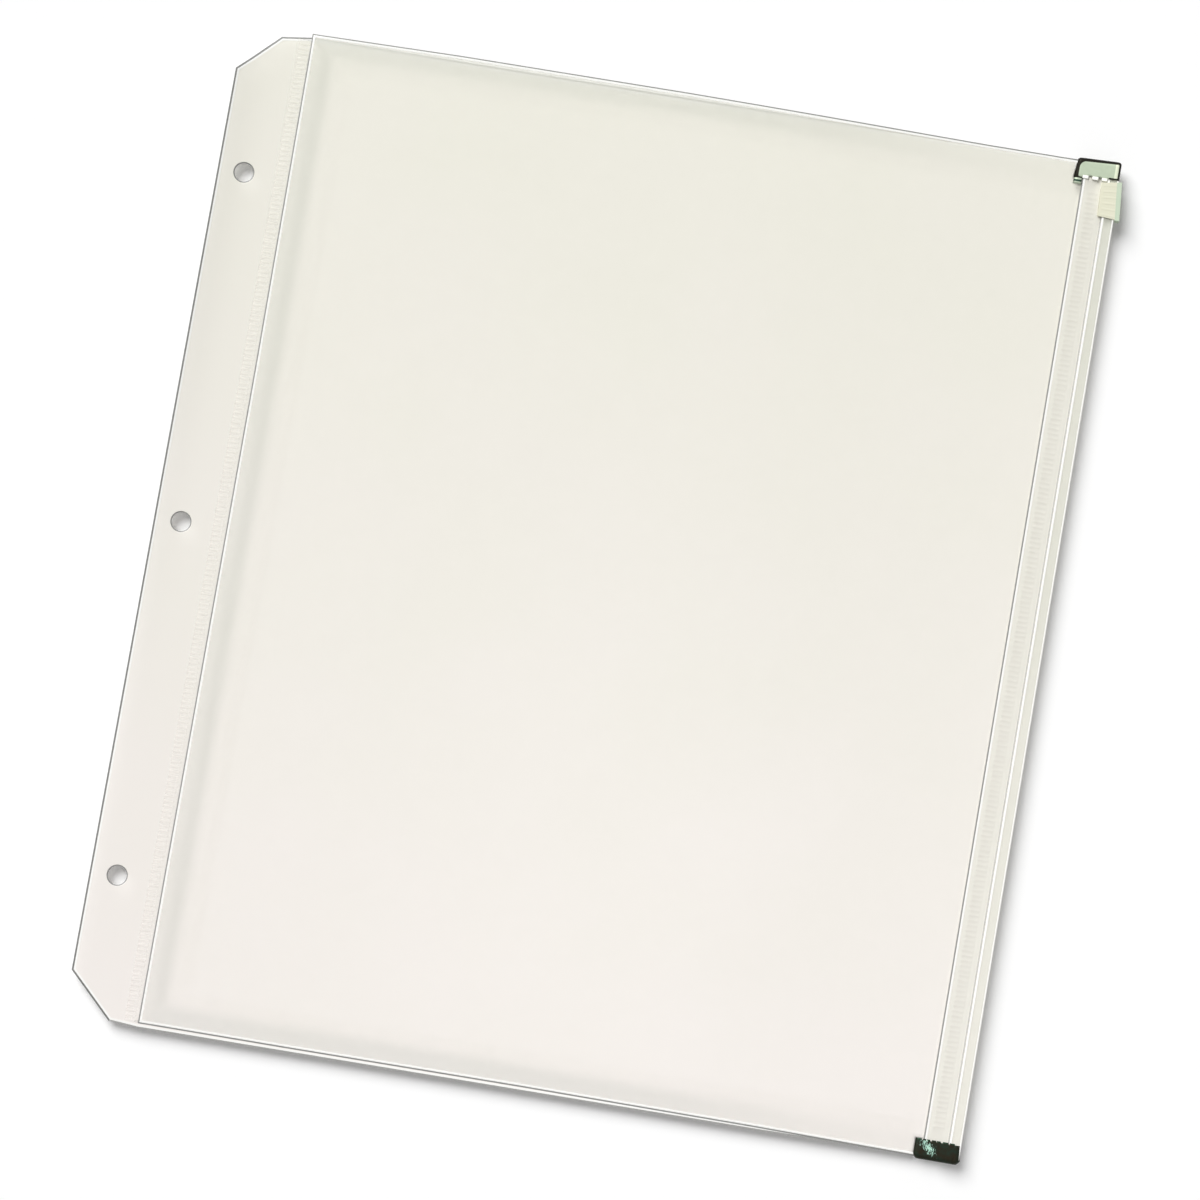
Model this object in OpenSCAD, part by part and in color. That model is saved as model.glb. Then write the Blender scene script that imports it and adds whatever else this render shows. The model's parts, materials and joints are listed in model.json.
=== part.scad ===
// Zippered binder pocket: a clear expanding film pocket with a punched binding margin,
// a press-to-close zipper along the opposite edge, a slider and two crimped metal end clips.
// Millimetres. The origin is the axis of the middle ring hole, on the surface the pocket lies on.
// +X runs from the binding edge to the zipper, +Y along the zipper and +Z up.

/* [Ring holes] */
// Distance between neighbouring ring holes
hole_spacing = 107.95; // [80:0.05:125]
// Diameter of a ring hole
hole_d = 6.35; // [5:0.05:8]
// From the binding edge to the middle of the ring holes
hole_edge = 7.9; // [6:0.1:11]

/* [Films] */
// Thickness of the front and back films
film_t = 0.3; // [0.2:0.05:0.5]
// Height of the back film along the binding edge
back_h = 303; // [290:1:330]
// How far the zipper side of the back film is welded above its binding side
back_skew = 2; // [0:0.1:4]
// Width of the flat punched margin, up to the line where the film flexes
margin_flat_w = 17.1; // [16:0.1:24]
// Width of the flexing line between the margin and the pocket, and along the zipper's lip
flex_gap = 0.4; // [0.4:0.05:0.8]
// Legs of the two clipped corners of the margin
corner_clip = 12.7; // [4:0.1:15]
// How far the top edge of the margin drops towards the binding edge
margin_slant = 1.2; // [0:0.1:3]
// From the flexing line to the folded left edge of the front film
fold_setback = 4.9; // [4:0.1:10]
// Width of the front film, from its fold to the zipper tape
front_w = 235.9; // [200:0.1:260]
// How much shorter the front film is than the back film, along the zipper
front_trim = 1.3; // [0:0.1:6]
// Clear height inside the pocket
pocket_depth = 4.4; // [4.2:0.1:8]

/* [Pleated gussets] */
// How far the pleats fold in from the edges
gusset_w = 9; // [6:0.1:14]
// Thickness of the pleated film
leaf_t = 0.2; // [0.1:0.05:0.4]
// Width of the ribbed land where the two leaves of the left pleat are welded
land_w = 3.4; // [2.5:0.1:6]

/* [Ribbed welds] */
// Width of the ribbed weld on the margin, across the seam
weld_w = 3; // [2:0.1:3.5]
// Distance between the ribs of the weld on the margin
rib_pitch = 1.5; // [1.4:0.1:4]
// Distance between the ribs of the weld on the pleat's land
land_rib_pitch = 1.6; // [1.4:0.1:4]
// Length of one rib along the seam
rib_len = 0.8; // [0.5:0.1:1.2]
// Height of the ribs
rib_h = 0.12; // [0.05:0.01:0.3]
// Plain film left beside a weld
weld_inset = 0.2; // [0.1:0.05:0.5]

/* [Zipper tapes] */
// Width of a tape, from the edge of its flange to the outer edge of its track
tape_w = 11.4; // [10:0.1:16]
// Thickness of the flange that is welded to the film
flange_t = 0.3; // [0.2:0.05:0.5]
// How far the flange laps over the film
lap_w = 4.4; // [3:0.1:4.8]
// Width of the track
track_w = 4.3; // [3.5:0.1:5]
// Height of one half of the track
track_h = 1.1; // [1:0.05:2]
// Flat stretch of web beside the track, where the hooks of the slider run
web_flat = 1.5; // [1.2:0.1:2]
// Thickness of the web
web_t = 0.4; // [0.3:0.05:0.5]
// From the parting plane of the track to the web
web_drop = 0.2; // [0.1:0.05:0.3]
// Gap between the two halves of the closed track
track_gap = 0.1; // [0.05:0.01:0.2]
// Width of the closing rib on the front track
key_w = 1; // [0.6:0.1:1.2]
// Depth of the closing rib
key_h = 0.5; // [0.3:0.05:0.7]
// Clearance around the closing rib in its groove
key_clear = 0.25; // [0.2:0.05:0.35]
// Gap between the ends of the opening lip and the fixed ends of the front tape
lip_gap = 0.3; // [0.2:0.05:0.6]

/* [Slider] */
// Length of the slider's side wall
slider_len = 11.3; // [8:0.1:16]
// How far the jaws stop short of the lower end of the side wall
jaw_short = 1.6; // [0:0.1:3]
// Thickness of a jaw
jaw_t = 0.75; // [0.6:0.05:1.2]
// Width of the hook that runs behind the shoulder of the track
hook_w = 0.75; // [0.5:0.05:0.9]
// Thickness of the side wall
slider_wall = 1.7; // [1:0.1:2.5]
// Running clearance between the slider and the track
slider_clear = 0.15; // [0.1:0.05:0.2]
// Gap between the slider and the surface the pocket lies on
slider_floor = 0.1; // [0.1:0.05:0.5]
// Gap between the parked slider and an end clip
slider_stop = 0.3; // [0.1:0.1:1]

/* [End clips] */
// Width of an end clip, across the tape
clip_w = 13.4; // [11:0.1:16]
// Length of an end clip, along the tape
clip_len = 6.1; // [5:0.1:9]
// Thickness of the clip's sheet metal
clip_t = 0.3; // [0.2:0.05:0.5]
// Outer radius of the clip's fold
clip_r = 1.2; // [0.8:0.1:1.5]
// Legs of the clip's two cut corners, beside its fold
clip_corner = 1.2; // [0.2:0.1:2]
// How far the clip stands past the end of the tape
clip_over = 1.2; // [0.6:0.1:2]
// How far the outer edge of the track stands past the clip
clip_setback = 0.4; // [0:0.1:1]
// Gap between the clip and the track that it holds
clip_clear = 0.05; // [0.02:0.01:0.2]
// Gap between the clip and the edges of the films beside it
clip_gap = 0.2; // [0.1:0.05:0.5]
// Number of teeth on the open edge of the clip
tooth_count = 4; // [3:1:6]
// Width of the cut between two teeth
tooth_cut_w = 0.9; // [0.5:0.1:1.5]
// Depth of the cut between two teeth
tooth_cut_d = 0.8; // [0.4:0.1:1.5]

/* [Hidden] */
$fn = 64;

film_colour = [0.93, 0.92, 0.88, 0.5];
pleat_colour = [0.87, 0.88, 0.84, 0.5];
tape_colour = [0.90, 0.91, 0.86, 0.7];
slider_colour = [0.87, 0.91, 0.81];
clip_colour = [0.55, 0.62, 0.57];

// Overlap that a cutting shape gets past the face that it cuts
past = 1;

// Across the pocket, from the binding edge to the zipper
edge_x = -hole_edge;
back_x = edge_x + margin_flat_w + flex_gap;
fold_x = back_x + fold_setback;
tape_x = fold_x + front_w;
outer_x = tape_x + tape_w;
track_x = outer_x - track_w;
bend_x = track_x - web_flat;
clip_x = outer_x - clip_setback - clip_w;

// Along the zipper
back_y1 = back_h / 2;
front_h = back_h - front_trim;
front_y0 = back_skew - front_h / 2;
front_y1 = back_skew + front_h / 2;
clip_in_y0 = front_y0 - clip_over + clip_len;
clip_in_y1 = front_y1 + clip_over - clip_len;
slider_y1 = clip_in_y1 - slider_stop;
slider_y0 = slider_y1 - slider_len;
lip_y1 = slider_y0 - lip_gap;
lip_y0 = clip_in_y0 + slider_stop + slider_len + lip_gap;

// Up from the surface
front_z = film_t + pocket_depth;
front_top = front_z + film_t;
pleat_z = film_t + pocket_depth / 2;
flange_z = max(film_t, clip_t);
track_z0 = slider_floor + jaw_t + slider_clear;
part_z = track_z0 + track_h;
track_z1 = part_z + track_h;
back_web_z = part_z - web_drop - web_t;
front_web_z = part_z + web_drop;
clip_h = track_z1 + clip_clear + clip_t;

// Width of a leaf's level cut, where it meets the front or the back film
leaf_foot = leaf_t / sin(atan2(pocket_depth / 2, gusset_w));

// Pushes an outline in X and Z along Y
module along_y(y0, y1) {
    translate([0, y1, 0]) rotate([90, 0, 0]) linear_extrude(y1 - y0) children();
}

// Pushes an outline of depth and Z along X, its depth running down from a top edge
module along_top(x0, x1, y) {
    translate([x1, y, 0]) rotate([90, 0, -90]) linear_extrude(x1 - x0) children();
}

// Pushes an outline of depth and Z along X, its depth running up from a bottom edge
module along_bottom(x0, x1, y) {
    translate([x0, y, 0]) rotate([90, 0, 90]) linear_extrude(x1 - x0) children();
}

// Outline of a row of weld ribs in Y and Z, standing on a base that sinks into the film
function rib_row(length, base, pitch) =
    let (count = floor((length - rib_len) / pitch))
    let (start = (length - count * pitch - rib_len) / 2)
    concat(
        [[0, -base], [length, -base], [length, 0]],
        [for (i = [count:-1:0]) let (y = start + i * pitch)
            each [[y + rib_len, 0], [y + rib_len, rib_h], [y, rib_h], [y, 0]]],
        [[0, 0]]);

// A ribbed weld: ribs across a seam that runs along Y
module ribbed_weld(x, y0, y1, z, width, base, pitch) {
    translate([x, y0, z]) rotate([90, 0, 90]) linear_extrude(width)
        polygon(rib_row(y1 - y0, base, pitch));
}

// Space kept free around an end clip, in plan
module clip_room(y_in, direction) {
    y_far = y_in + direction * (clip_len + past);
    x0 = clip_x - clip_gap;
    translate([x0, min(y_in - direction * clip_gap, y_far), -past])
        cube([outer_x - x0 + past, abs(y_far - y_in) + clip_gap, front_top + 2 * past]);
}

module both_clip_rooms() {
    clip_room(clip_in_y0, -1);
    clip_room(clip_in_y1, 1);
}

// The punched margin: flat film with three ring holes and two clipped corners
module binding_margin() {
    x1 = edge_x + margin_flat_w;
    outer_y1 = back_y1 - margin_slant;
    color(film_colour) difference() {
        linear_extrude(film_t) polygon([
            [edge_x, -back_y1 + corner_clip], [edge_x + corner_clip, -back_y1], [x1, -back_y1],
            [x1, back_y1], [edge_x + corner_clip, outer_y1], [edge_x, outer_y1 - corner_clip]]);
        for (i = [-1:1])
            translate([0, i * hole_spacing, -past]) cylinder(d = hole_d, h = film_t + 2 * past);
    }
}

// The back film, welded a little askew, notched for the end clips
module back_sheet() {
    x1 = tape_x + lap_w;
    color(film_colour) difference() {
        linear_extrude(film_t) polygon([
            [back_x, -back_y1], [x1, -back_y1 + back_skew], [x1, back_y1 + back_skew], [back_x, back_y1]]);
        both_clip_rooms();
    }
}

// The front film, flat above the back film, up to the line where the lip flexes
module front_sheet() {
    color(film_colour) difference() {
        translate([fold_x, front_y0, front_z]) cube([front_w - flex_gap, front_h, film_t]);
        both_clip_rooms();
    }
}

// One inward pleat in section: two leaves that meet inside the pocket
module pleat_section() {
    polygon([
        [0, film_t], [leaf_foot, film_t], [gusset_w + leaf_foot, pleat_z],
        [leaf_foot, front_z], [0, front_z], [gusset_w, pleat_z]]);
}

// The left pleat in section: its leaves share a welded land, and its lower leaf turns out on the margin
module left_pleat_section() {
    flange_w = fold_setback - weld_inset;
    polygon([
        [-flange_w, film_t], [leaf_foot, film_t], [gusset_w, pleat_z - leaf_t],
        [gusset_w + land_w, pleat_z - leaf_t], [gusset_w + land_w, pleat_z + leaf_t],
        [gusset_w, pleat_z + leaf_t], [leaf_foot, front_z], [0, front_z],
        [gusset_w - leaf_foot, pleat_z], [0, film_t + leaf_t], [-flange_w, film_t + leaf_t]]);
}

// The left pleat, mitred at both ends, with the ribbed welds of its flange and its land
module left_gusset() {
    reach = gusset_w + land_w + past;
    x0 = back_x + weld_inset;
    y_low = min(front_y0, -back_y1);
    y_high = max(front_y1, back_y1);
    land_x = fold_x + gusset_w + weld_inset;
    land_inset = gusset_w + land_w + leaf_foot;
    color(pleat_colour) {
        union() {
            intersection() {
                along_y(y_low, y_high) translate([fold_x, 0]) left_pleat_section();
                linear_extrude(front_top) polygon([
                    [x0, -back_y1], [fold_x, -back_y1], [fold_x, front_y0], [fold_x + reach, front_y0 + reach],
                    [fold_x + reach, front_y1 - reach], [fold_x, front_y1], [fold_x, back_y1], [x0, back_y1]]);
            }
            ribbed_weld(x0, -back_y1, back_y1, film_t + leaf_t, weld_w, leaf_t / 2, rib_pitch);
            ribbed_weld(land_x, front_y0 + land_inset, front_y1 - land_inset, pleat_z + leaf_t,
                land_w - 2 * weld_inset, leaf_t / 2, land_rib_pitch);
        }
    }
}

// The pleat of the top edge, mitred at the left and ending at the clip
module top_gusset() {
    reach = gusset_w + leaf_foot + past;
    x1 = clip_x - clip_gap;
    color(pleat_colour) intersection() {
        along_top(fold_x, x1, front_y1) pleat_section();
        linear_extrude(front_top) polygon([
            [fold_x, front_y1], [x1, front_y1], [x1, front_y1 - reach], [fold_x + reach, front_y1 - reach]]);
    }
}

// The pleat of the bottom edge
module bottom_gusset() {
    reach = gusset_w + leaf_foot + past;
    x1 = clip_x - clip_gap;
    color(pleat_colour) intersection() {
        along_bottom(fold_x, x1, front_y0) pleat_section();
        linear_extrude(front_top) polygon([
            [fold_x, front_y0], [fold_x + reach, front_y0 + reach], [x1, front_y0 + reach], [x1, front_y0]]);
    }
}

// The back half of the zipper: a flange on the back film, a raised web and a track with a groove
module back_zip_tape() {
    key_x = track_x + track_w / 2;
    groove_w = key_w / 2 + key_clear;
    face_z = part_z - track_gap / 2;
    color(tape_colour) along_y(front_y0, front_y1) polygon([
        [tape_x, flange_z], [tape_x + lap_w, flange_z], [bend_x, back_web_z], [track_x, back_web_z],
        [track_x, track_z0], [outer_x, track_z0], [outer_x, face_z],
        [key_x + groove_w, face_z], [key_x + groove_w, part_z - key_h - key_clear],
        [key_x - groove_w, part_z - key_h - key_clear], [key_x - groove_w, face_z],
        [track_x, face_z], [track_x, back_web_z + web_t], [bend_x, back_web_z + web_t],
        [tape_x + lap_w, flange_z + flange_t], [tape_x, flange_z + flange_t]]);
}

// The track and the flat web of the front tape in section, with or without the closing rib
module front_track_section(web_x, with_key) {
    key_x = track_x + track_w / 2;
    face_z = part_z + track_gap / 2;
    translate([track_x, face_z]) square([track_w, track_z1 - face_z]);
    translate([web_x, front_web_z]) square([track_x + track_w / 2 - web_x, web_t]);
    if (with_key)
        translate([key_x - key_w / 2, part_z - key_h]) square([key_w, key_h + track_h / 2]);
}

// The flange of the front tape in section, sloping from the front film down to the web
module front_flange_section(x0) {
    polygon([
        [x0, front_z], [tape_x, front_z], [bend_x, front_web_z], [bend_x + web_t, front_web_z],
        [bend_x + web_t, front_web_z + web_t], [bend_x, front_web_z + web_t],
        [tape_x, front_top + flange_t], [tape_x, front_top], [x0, front_top]]);
}

// The lip: the part of the front tape between the slider's two parking places, which opens
module front_zip_tape() {
    color(tape_colour) along_y(lip_y0, lip_y1) union() {
        front_track_section(bend_x, true);
        front_flange_section(tape_x);
    }
}

// The ends of the front tape, which stay closed beside the clips and inside them
module front_zip_ends() {
    color(tape_colour) {
        front_zip_end(clip_in_y0, lip_y0 - lip_gap, front_y0, clip_in_y0);
        front_zip_end(lip_y1 + lip_gap, clip_in_y1, clip_in_y1, front_y1);
    }
}

module front_zip_end(park_y0, park_y1, clip_y0, clip_y1) {
    union() {
        along_y(park_y0, park_y1) union() {
            front_track_section(bend_x, false);
            front_flange_section(tape_x - flex_gap);
        }
        along_y(clip_y0, clip_y1) front_track_section(tape_x, false);
    }
}

// The slider: two jaws and a side wall around the track, with hooks behind its shoulders
module slider() {
    jaw_x = track_x - slider_clear - hook_w;
    hook_x = track_x - slider_clear;
    wall_x = outer_x + slider_clear;
    low_z = track_z0 - slider_clear;
    high_z = track_z1 + slider_clear;
    color(slider_colour) union() {
        along_y(slider_y0 + jaw_short, slider_y1) polygon([
            [jaw_x, low_z - jaw_t], [wall_x + slider_wall, low_z - jaw_t],
            [wall_x + slider_wall, high_z + jaw_t], [jaw_x, high_z + jaw_t],
            [jaw_x, front_web_z + web_t + slider_clear], [hook_x, front_web_z + web_t + slider_clear],
            [hook_x, high_z], [wall_x, high_z], [wall_x, low_z], [hook_x, low_z],
            [hook_x, back_web_z - slider_clear], [jaw_x, back_web_z - slider_clear]]);
        along_y(slider_y0, slider_y1)
            translate([wall_x, low_z - jaw_t])
                square([slider_wall, high_z - low_z + 2 * jaw_t]);
    }
}

// A rounded end of a folded sheet in section, from its open edge at zero to its fold
module fold_section(length, height, radius) {
    square([length - radius, height]);
    translate([0, radius]) square([length, height - 2 * radius]);
    translate([length - radius, radius]) circle(radius);
    translate([length - radius, height - radius]) circle(radius);
}

// An end clip: a strip of sheet metal folded over both tapes, with teeth along its open edges
module end_clip() {
    intersection() {
        rotate([90, 0, 90]) linear_extrude(clip_w) difference() {
            fold_section(clip_len, clip_h, clip_r);
            translate([-past, clip_t])
                fold_section(clip_len + past - clip_t, clip_h - 2 * clip_t, clip_r - clip_t);
        }
        linear_extrude(clip_h) end_clip_plan();
    }
}

// The clip seen from above: cuts between the teeth at the open edge, cut corners at the fold
module end_clip_plan() {
    tooth_pitch = clip_w / tooth_count;
    difference() {
        polygon([
            [0, 0], [clip_w, 0], [clip_w, clip_len - clip_corner], [clip_w - clip_corner, clip_len],
            [clip_corner, clip_len], [0, clip_len - clip_corner]]);
        for (i = [1:tooth_count - 1])
            translate([i * tooth_pitch - tooth_cut_w / 2, -past]) square([tooth_cut_w, tooth_cut_d + past]);
    }
}

module top_end_clip() {
    color(clip_colour) translate([clip_x, clip_in_y1, 0]) end_clip();
}

module bottom_end_clip() {
    color(clip_colour) translate([clip_x, clip_in_y0, 0]) mirror([0, 1, 0]) end_clip();
}

binding_margin();
back_sheet();
front_sheet();
left_gusset();
top_gusset();
bottom_gusset();
back_zip_tape();
front_zip_tape();
front_zip_ends();
slider();
top_end_clip();
bottom_end_clip();
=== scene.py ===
import json
import math

import bmesh
import bpy
from mathutils import Matrix, Vector
from mathutils.geometry import delaunay_2d_cdt


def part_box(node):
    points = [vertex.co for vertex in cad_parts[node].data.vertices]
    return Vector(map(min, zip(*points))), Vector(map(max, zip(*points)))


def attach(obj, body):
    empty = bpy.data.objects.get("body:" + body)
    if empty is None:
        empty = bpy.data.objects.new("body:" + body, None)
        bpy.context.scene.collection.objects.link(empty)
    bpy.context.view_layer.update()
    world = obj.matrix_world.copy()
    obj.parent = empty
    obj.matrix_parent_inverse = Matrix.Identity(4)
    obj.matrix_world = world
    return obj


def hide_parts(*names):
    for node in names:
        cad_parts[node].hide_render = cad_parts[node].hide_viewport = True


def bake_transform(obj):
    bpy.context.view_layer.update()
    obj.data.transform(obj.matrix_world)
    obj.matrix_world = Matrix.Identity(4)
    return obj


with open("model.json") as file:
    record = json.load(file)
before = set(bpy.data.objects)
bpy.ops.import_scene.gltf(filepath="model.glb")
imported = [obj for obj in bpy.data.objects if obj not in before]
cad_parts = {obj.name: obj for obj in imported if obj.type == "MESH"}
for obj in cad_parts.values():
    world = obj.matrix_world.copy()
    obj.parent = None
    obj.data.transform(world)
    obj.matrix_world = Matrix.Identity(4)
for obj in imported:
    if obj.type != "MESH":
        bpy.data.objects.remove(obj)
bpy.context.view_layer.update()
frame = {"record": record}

# Camera
# A long lens that looks almost straight down on the pocket, which lies turned about ten degrees
# clockwise in the picture.
CAMERA_PLACE = Vector((0.16545, -0.0875, 1.1989))
CAMERA_AIM = Vector((0.12858, -0.00208, 0.0))
CAMERA_TURN = math.radians(9.77)
LENS_MM = 120.0
SENSOR_MM = 36.0

camera_data = bpy.data.cameras.new("photo_camera")
camera_data.lens = LENS_MM
camera_data.sensor_width = SENSOR_MM
camera = bpy.data.objects.new("photo_camera", camera_data)
back_axis = (CAMERA_PLACE - CAMERA_AIM).normalized()
right_axis = Vector((-math.sin(CAMERA_TURN), math.cos(CAMERA_TURN), 0.0)).cross(back_axis).normalized()
camera_axes = Matrix((right_axis, back_axis.cross(right_axis), back_axis)).transposed()
camera.matrix_world = Matrix.Translation(CAMERA_PLACE) @ camera_axes.to_4x4()
bpy.context.scene.collection.objects.link(camera)
bpy.context.scene.camera = camera

# Back film
# Clear soft vinyl, calendered to sheet, die-cut with two clipped corners and punched with three ring
# holes. Its left border is the binding margin; pleats, zipper and clips are fixed to its other edges.
MM = 0.001
# Corners of the margin as they were cut, from the corners of its box
MARGIN_FOOT = ((-0.45, 13.5), (13.1, 0.3), (21.7, -0.35))
MARGIN_HEAD = ((21.0, 0.7), (12.0, -0.55), (0.0, -12.5))
# The lower edge sags a little, and near the zipper it tucks in under the front film
FOOT_SAG = 0.25
FOOT_TURN = 0.8
FOOT_TUCK = 0.4
# The margin curls up more at its upper end than at its lower one
MARGIN_CURL = (0.75, 1.95)
CURL_POWER = 3
CLIP_GAP = 0.2
FILM_CELL = 8.0
MARGIN_CELL = 2.0
FLEX_STEP = 0.25
FLEX_REACH = 1.0
# Finishes of a film, by slot: the film, the bead of its rolled rim painted white as a highlight, its cut
# edge painted as a dark grey line of shade, its underside, the edge of a hole painted as a grey line of
# shade, and the lower edge painted as a paler, half clear line of shade
FILM, BEAD, CUT, UNDERSIDE, HOLE_EDGE, LOWER_EDGE = range(6)
# Distance from the cut edge of a film, how far the film stands there over its own flat face, and the
# slot of the strip that ends there
BACK_RIM = [(0.0, -0.1, CUT), (0.55, 0.0, CUT), (0.82, 0.05, BEAD), (1.1, 0.0, BEAD), (1.4, 0.0, FILM)]
HOLE_RIM = [(-0.3, -0.12, HOLE_EDGE), (0.0, 0.0, HOLE_EDGE), (0.25, 0.0, FILM)]
HOLE_CLEAR = 1.0
HOLE_SIDES = 48
SAME_POINT = 1e-4
CREASE_ANGLE = math.radians(40.0)


def node_box(node):
    """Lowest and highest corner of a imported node, in millimetres."""
    low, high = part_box(node)
    return low / MM, high / MM


def smooth(t):
    """An S-shaped rise from 0 to 1."""
    t = min(1.0, max(0.0, t))
    return t * t * (3.0 - 2.0 * t)


def between(pair, share):
    """A value part of the way between two."""
    return pair[0] + (pair[1] - pair[0]) * share


def linear(hex_colour):
    """An sRGB hex colour as linear red, green, blue and alpha."""
    channels = [int(hex_colour[i:i + 2], 16) / 255.0 for i in (1, 3, 5)]
    return [c / 12.92 if c <= 0.04045 else ((c + 0.055) / 1.055) ** 2.4 for c in channels] + [1.0]


def add_node(tree, kind, inputs=None, **settings):
    """Adds a shader node with its settings; an input is a value, or a socket or a node to link from."""
    made = tree.nodes.new("ShaderNode" + kind)
    for name, value in settings.items():
        setattr(made, name, value)
    for name, value in (inputs or {}).items():
        if isinstance(value, bpy.types.Node):
            value = value.outputs[0]
        if isinstance(value, bpy.types.NodeSocket):
            tree.links.new(value, made.inputs[name])
        else:
            made.inputs[name].default_value = value
    return made


def new_material(name):
    """An empty node material and its tree."""
    material = bpy.data.materials.new(name)
    material.use_nodes = True
    material.node_tree.nodes.clear()
    return material, material.node_tree


def vinyl(name, upper_hex, lower_hex, alpha, roughness=0.32, slope_shade_hexes=None):
    """Calendered soft vinyl: clear but a little milky, and glossy with a faint orange peel. Its colour is
    painted a touch darker and greener towards the top of the pocket, as painted shade. Given slope shade
    colours, it is painted darker where it slopes, by the tilt of its normal, as painted shade."""
    cloud_mm, peel_mm, peel_depth_mm, half_height_mm = 55.0, 2.6, 0.012, 150.0
    tint_spread, gloss_spread, steep_normal = 0.25, 0.03, 0.94
    material, tree = new_material(name)
    place = add_node(tree, "TexCoord").outputs["Object"]
    # Painted shade: the colour runs from the lower one to the upper one with height in the pocket, with a
    # random drift of tone
    up = add_node(tree, "SeparateXYZ", {"Vector": place}).outputs["Y"]
    climb = add_node(tree, "MapRange", {
        "Value": up, "From Min": -half_height_mm * MM, "From Max": half_height_mm * MM})
    cloud = add_node(tree, "TexNoise", {"Vector": place, "Scale": 1.0 / (cloud_mm * MM), "Detail": 1.0})
    tint = add_node(tree, "MapRange", {"Value": cloud, "To Min": -tint_spread, "To Max": tint_spread})
    shade = add_node(tree, "Math", {0: climb, 1: tint}, use_clamp=True)
    colour = add_node(tree, "MixRGB", {
        "Fac": shade, "Color1": linear(lower_hex), "Color2": linear(upper_hex)})
    # Painted shade on slopes: the steeper the film, the more of the darker slope shade colour
    if slope_shade_hexes:
        slope_shade = add_node(tree, "MixRGB", {
            "Fac": shade, "Color1": linear(slope_shade_hexes[1]), "Color2": linear(slope_shade_hexes[0])})
        tilt = add_node(tree, "SeparateXYZ", {"Vector": add_node(tree, "NewGeometry").outputs["Normal"]})
        level = add_node(tree, "Math", {0: tilt.outputs["Z"]}, operation="ABSOLUTE")
        steep = add_node(tree, "MapRange", {"Value": level, "From Min": 1.0, "From Max": steep_normal})
        colour = add_node(tree, "MixRGB", {"Fac": steep, "Color1": colour, "Color2": slope_shade})
    peel = add_node(tree, "TexNoise", {"Vector": place, "Scale": 1.0 / (peel_mm * MM), "Detail": 2.0})
    gloss = add_node(tree, "MapRange", {
        "Value": cloud, "To Min": roughness - gloss_spread, "To Max": roughness + gloss_spread})
    bump = add_node(tree, "Bump", {"Height": peel, "Strength": 0.5, "Distance": peel_depth_mm * MM})
    surface = add_node(tree, "BsdfPrincipled", {
        "Base Color": colour, "Roughness": gloss, "IOR": 1.53, "Alpha": alpha, "Normal": bump})
    add_node(tree, "OutputMaterial", {"Surface": surface})
    return material


def inset(outline, distance):
    """An outline that runs anticlockwise, moved inwards."""
    moved = []
    for i, here in enumerate(outline):
        before = (here - outline[i - 1]).normalized()
        after = (outline[(i + 1) % len(outline)] - here).normalized()
        inward = Vector((-before.y, before.x)) + Vector((-after.y, after.x))
        moved.append(here + inward * (distance / (1.0 + before.dot(after))))
    return moved


def stepped(outline, step):
    """The outline with points added so that none are further apart than the step."""
    ring = []
    for i, here in enumerate(outline):
        ahead = outline[(i + 1) % len(outline)] - here
        parts = max(1, math.ceil(ahead.length / step))
        ring.extend(here + ahead * (part / parts) for part in range(parts))
    return ring


def inside(point, outline):
    """Whether a point lies inside an outline."""
    crossings = 0
    for i, here in enumerate(outline):
        last = outline[i - 1]
        if (here.y > point.y) != (last.y > point.y):
            across = last.x + (point.y - last.y) * (here.x - last.x) / (here.y - last.y)
            crossings += across > point.x
    return crossings % 2 == 1


def circle(centre, radius):
    """A ring of points round a hole."""
    turns = [2.0 * math.pi * i / HOLE_SIDES for i in range(HOLE_SIDES)]
    return [centre + Vector((math.cos(a), math.sin(a))) * radius for a in turns]


def grid(columns, low_y, high_y, step):
    """Spots in columns, a step apart, each column half a step from the next so that triangles match."""
    rows = math.ceil((high_y - low_y) / step)
    return [Vector((x, low_y + (row + (i % 2) / 2.0) * step))
            for i, x in enumerate(columns) for row in range(rows)]


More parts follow.
